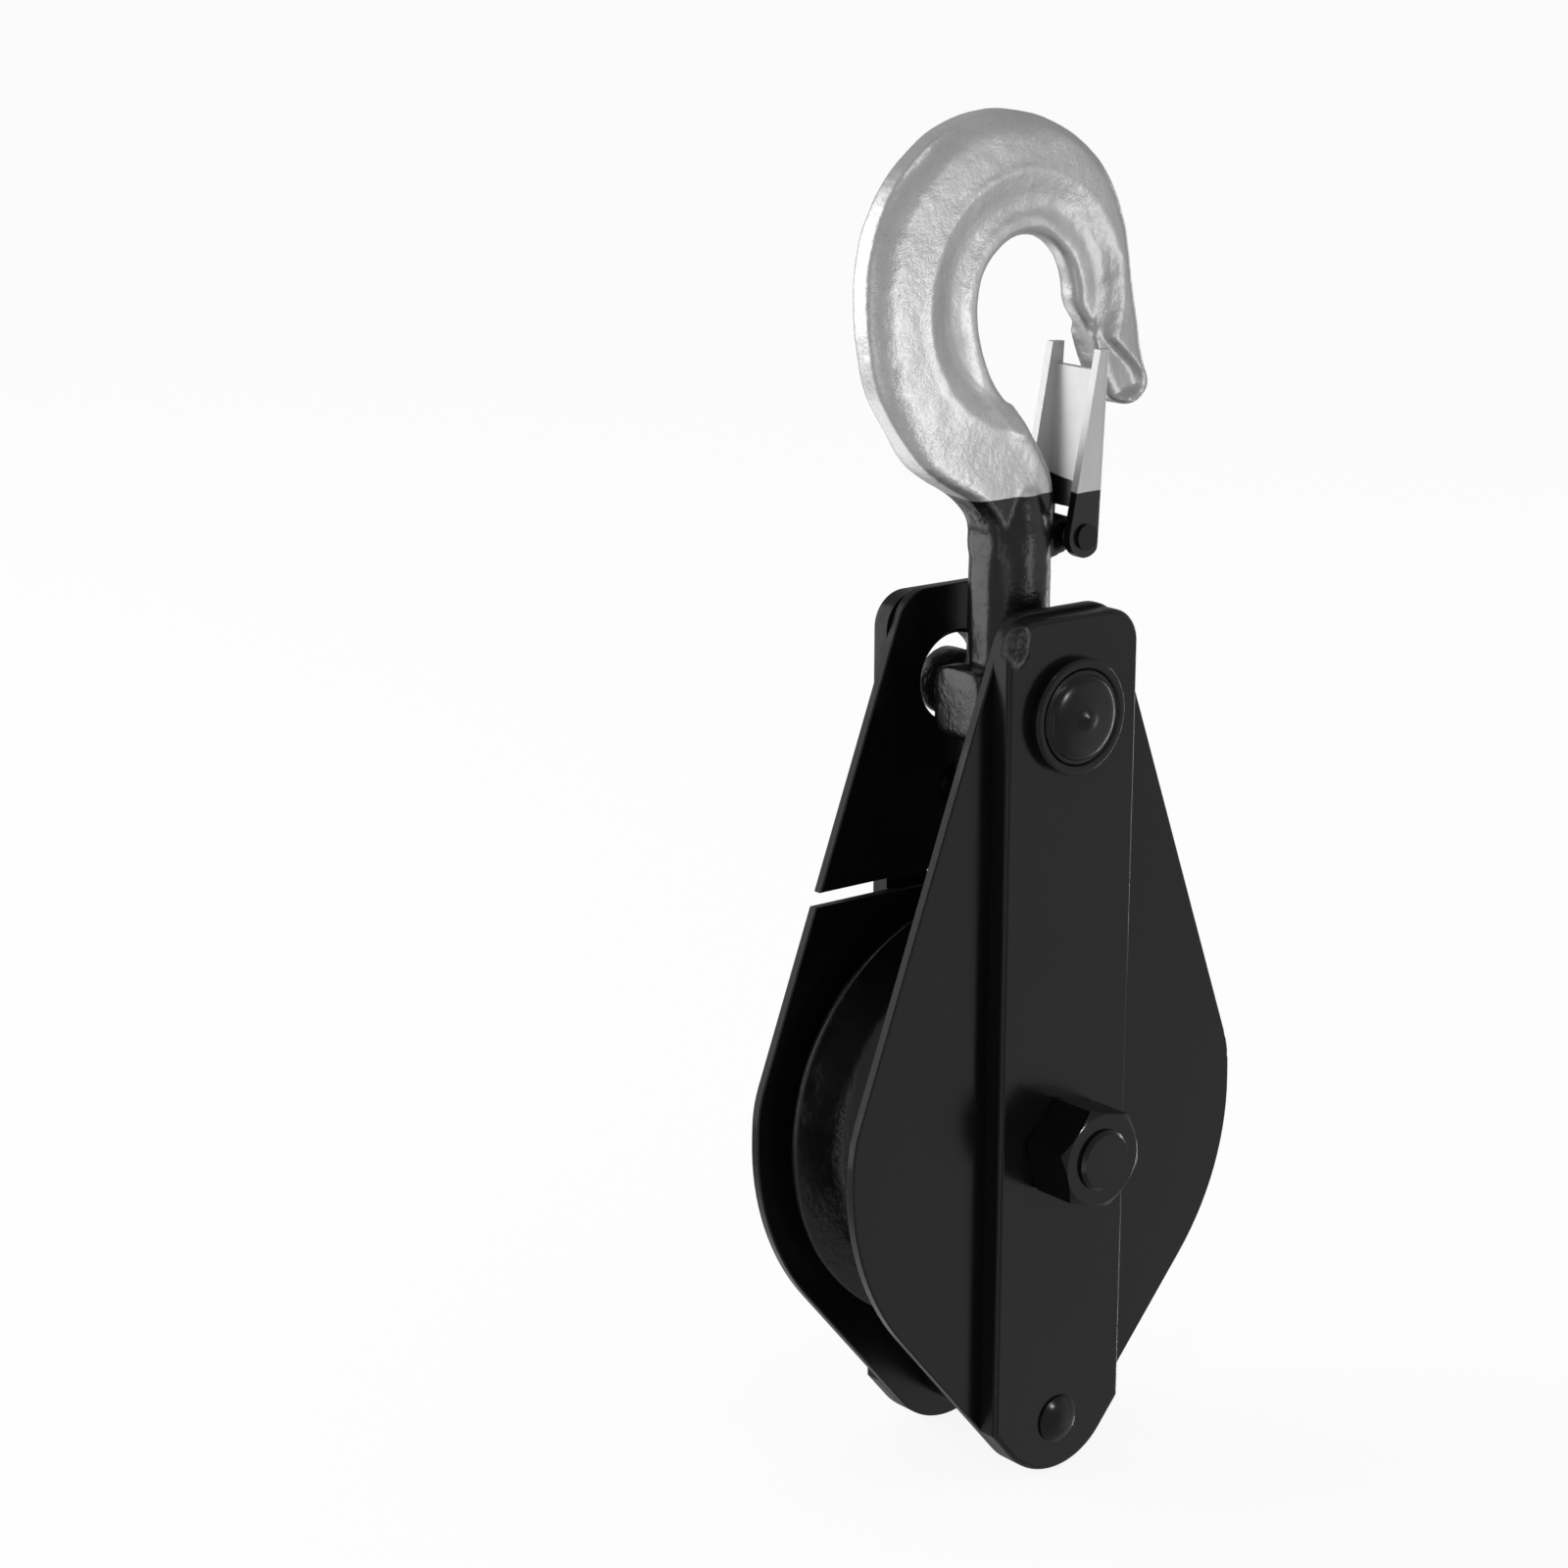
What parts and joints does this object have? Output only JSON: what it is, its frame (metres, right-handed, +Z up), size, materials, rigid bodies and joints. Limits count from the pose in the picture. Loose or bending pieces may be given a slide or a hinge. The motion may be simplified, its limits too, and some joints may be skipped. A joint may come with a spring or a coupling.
{
  "type": "snatch block",
  "caption": "Snatch block hung by a latched swing hook: strapped cheeks, a grooved sheave on roller bearings and a hinged gate that lets a rope be laid in sideways.",
  "frame": {"origin": "middle of the rope sheave, on its axle", "axes": "+Z up the block towards its hook, +X towards the hook's mouth, +Y along the axle towards the hinged rear cheek"},
  "size_m": [0.1134, 0.071, 0.3069],
  "materials": {
    "hook_paint": "silver paint over a rough forging, black below the neck",
    "latch_paint": "bright silver sheet, black at its foot",
    "black_paint": "gloss black paint",
    "fastener_paint": "gloss black paint over bolts, nuts and rivets",
    "sheave_paint": "satin black paint",
    "bearing_steel": "ground steel",
    "spring_steel": "drawn wire",
    "pin_steel": "gloss black paint"
  },
  "bodies": {
    "hook": {"hook": "hook_paint", "trunnion_washer": "black_paint", "latch_pin": "pin_steel"},
    "latch": {"latch": "latch_paint", "latch_spring": "spring_steel"},
    "cheeks": {"front_plate": "black_paint", "front_strap": "black_paint", "rear_plate": "black_paint", "rear_strap": "black_paint", "hinge_pin": "fastener_paint", "axle_bolt": "fastener_paint", "axle_nut": "fastener_paint", "axle_sleeve": "bearing_steel", "side_washer_front": "bearing_steel", "side_washer_rear": "bearing_steel", "bottom_rivet": "fastener_paint", "bottom_spacer": "black_paint"},
    "sheave": {"sheave": "sheave_paint", "bearing_cup_front": "bearing_steel", "bearing_cup_rear": "bearing_steel", "rollers_front": "bearing_steel", "rollers_rear": "bearing_steel"},
    "gate": {"gate_plate": "black_paint", "gate_strap": "black_paint", "gate_rivet": "fastener_paint"}
  },
  "joints": [
    {"name": "block_swing", "type": "hinge", "parent": "hook", "child": "cheeks", "pos_m": [0, 0, 0.099], "axis": [0, 1, 0], "range_deg": [-90, 90]},
    {"name": "sheave_spin", "type": "hinge", "parent": "cheeks", "child": "sheave", "pos_m": [0, 0, 0], "axis": [0, 1, 0], "continuous": true},
    {"name": "gate_swing", "type": "hinge", "parent": "cheeks", "child": "gate", "pos_m": [0, 0.026, 0.062], "axis": [-1, 0, 0], "range_deg": [0, 120]},
    {"name": "latch_swing", "type": "hinge", "parent": "hook", "child": "latch", "pos_m": [0.0155, 0, 0.1344], "axis": [0, -1, 0], "range_deg": [0, 25], "stiffness_Nm_per_rad": 0.05, "springref_deg": -45.84}
  ]
}
